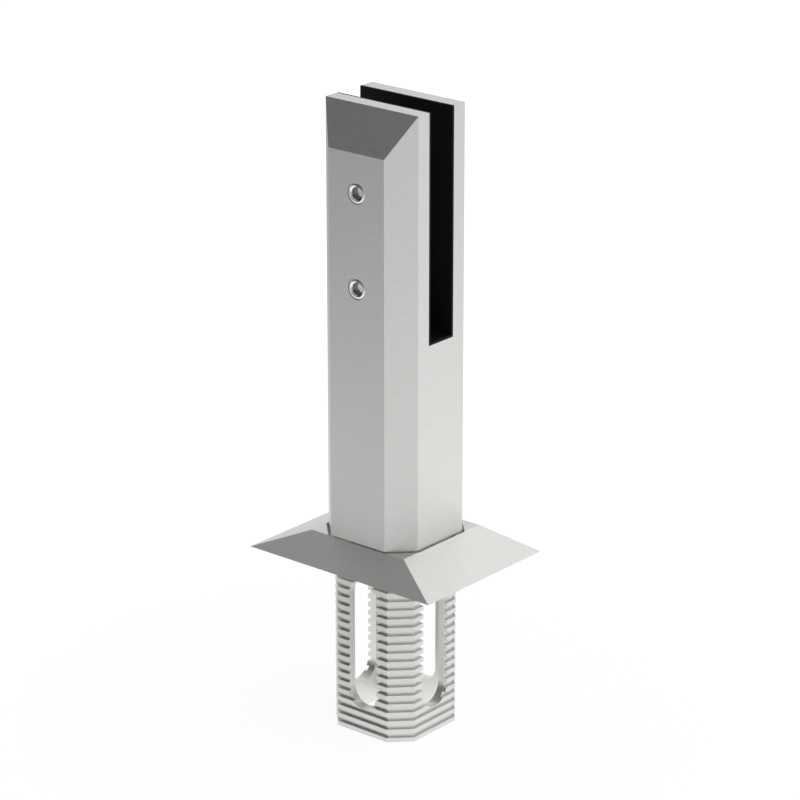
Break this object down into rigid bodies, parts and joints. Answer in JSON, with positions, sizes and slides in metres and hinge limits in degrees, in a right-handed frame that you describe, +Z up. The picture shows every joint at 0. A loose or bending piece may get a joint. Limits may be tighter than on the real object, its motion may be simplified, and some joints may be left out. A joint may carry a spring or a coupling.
{
  "type": "core-mounted glass spigot",
  "caption": "Core-mounted post that clamps the lower edge of a frameless glass pane, with a ribbed hollow core, padded slot, set screws and a sloped cover plate.",
  "frame": {"origin": "on the post's axis at the finished floor, which is the underside of the cover plate's rim", "axes": "+X along the glass pane, -Y out of the front face, +Z up the post"},
  "size_m": [0.1, 0.0764, 0.281],
  "materials": {
    "brushed_duplex_steel": "satin brushed duplex stainless steel casting",
    "brushed_cover_steel": "satin brushed stainless steel sheet",
    "plain_plate_steel": "mill-finished stainless steel plate",
    "polished_screw_steel": "bright polished stainless steel",
    "black_rubber": "matt black rubber sheet"
  },
  "bodies": {
    "post": {"spigot_body": "brushed_duplex_steel", "bottom_pad": "black_rubber"},
    "cover": {"cover_plate": "brushed_cover_steel"},
    "front_clamp": {"front_pressure_plate": "plain_plate_steel", "front_pad": "black_rubber"},
    "front_upper_screw": {"front_upper_screw": "polished_screw_steel"},
    "front_lower_screw": {"front_lower_screw": "polished_screw_steel"},
    "rear_support": {"rear_pressure_plate": "plain_plate_steel", "rear_pad": "black_rubber"},
    "rear_upper_screw": {"rear_upper_screw": "polished_screw_steel"},
    "rear_lower_screw": {"rear_lower_screw": "polished_screw_steel"}
  },
  "joints": [
    {"name": "cover_lift", "type": "slide", "parent": "post", "child": "cover", "axis": [0, 0, 1], "range_m": [0, 0.205]},
    {"name": "front_clamp_slide", "type": "slide", "parent": "post", "child": "front_clamp", "axis": [0, 1, 0], "range_m": [0, 0.002]},
    {"name": "front_upper_screw_turn", "type": "hinge", "parent": "front_clamp", "child": "front_upper_screw", "pos_m": [0, -0.02, 0.1659], "axis": [0, 1, 0], "range_deg": [0, 576]},
    {"name": "front_lower_screw_turn", "type": "hinge", "parent": "front_clamp", "child": "front_lower_screw", "pos_m": [0, -0.02, 0.1245], "axis": [0, 1, 0], "range_deg": [0, 576]},
    {"name": "rear_tilt", "type": "hinge", "parent": "post", "child": "rear_support", "pos_m": [0, 0.008, 0.1016], "axis": [1, 0, 0], "range_deg": [0, 1.2]},
    {"name": "rear_upper_screw_slide", "type": "slide", "parent": "post", "child": "rear_upper_screw", "axis": [0, -1, 0], "range_m": [0, 0.0014]},
    {"name": "rear_lower_screw_slide", "type": "slide", "parent": "post", "child": "rear_lower_screw", "axis": [0, -1, 0], "range_m": [0, 0.0005]}
  ],
  "couplings": [
    {"joint": "front_upper_screw_turn", "follows": "front_clamp_slide", "rad_per_m": 5026.5},
    {"joint": "front_lower_screw_turn", "follows": "front_clamp_slide", "rad_per_m": 5026.5},
    {"joint": "rear_upper_screw_slide", "follows": "rear_tilt", "m_per_rad": 0.0643},
    {"joint": "rear_lower_screw_slide", "follows": "rear_tilt", "m_per_rad": 0.0229}
  ]
}
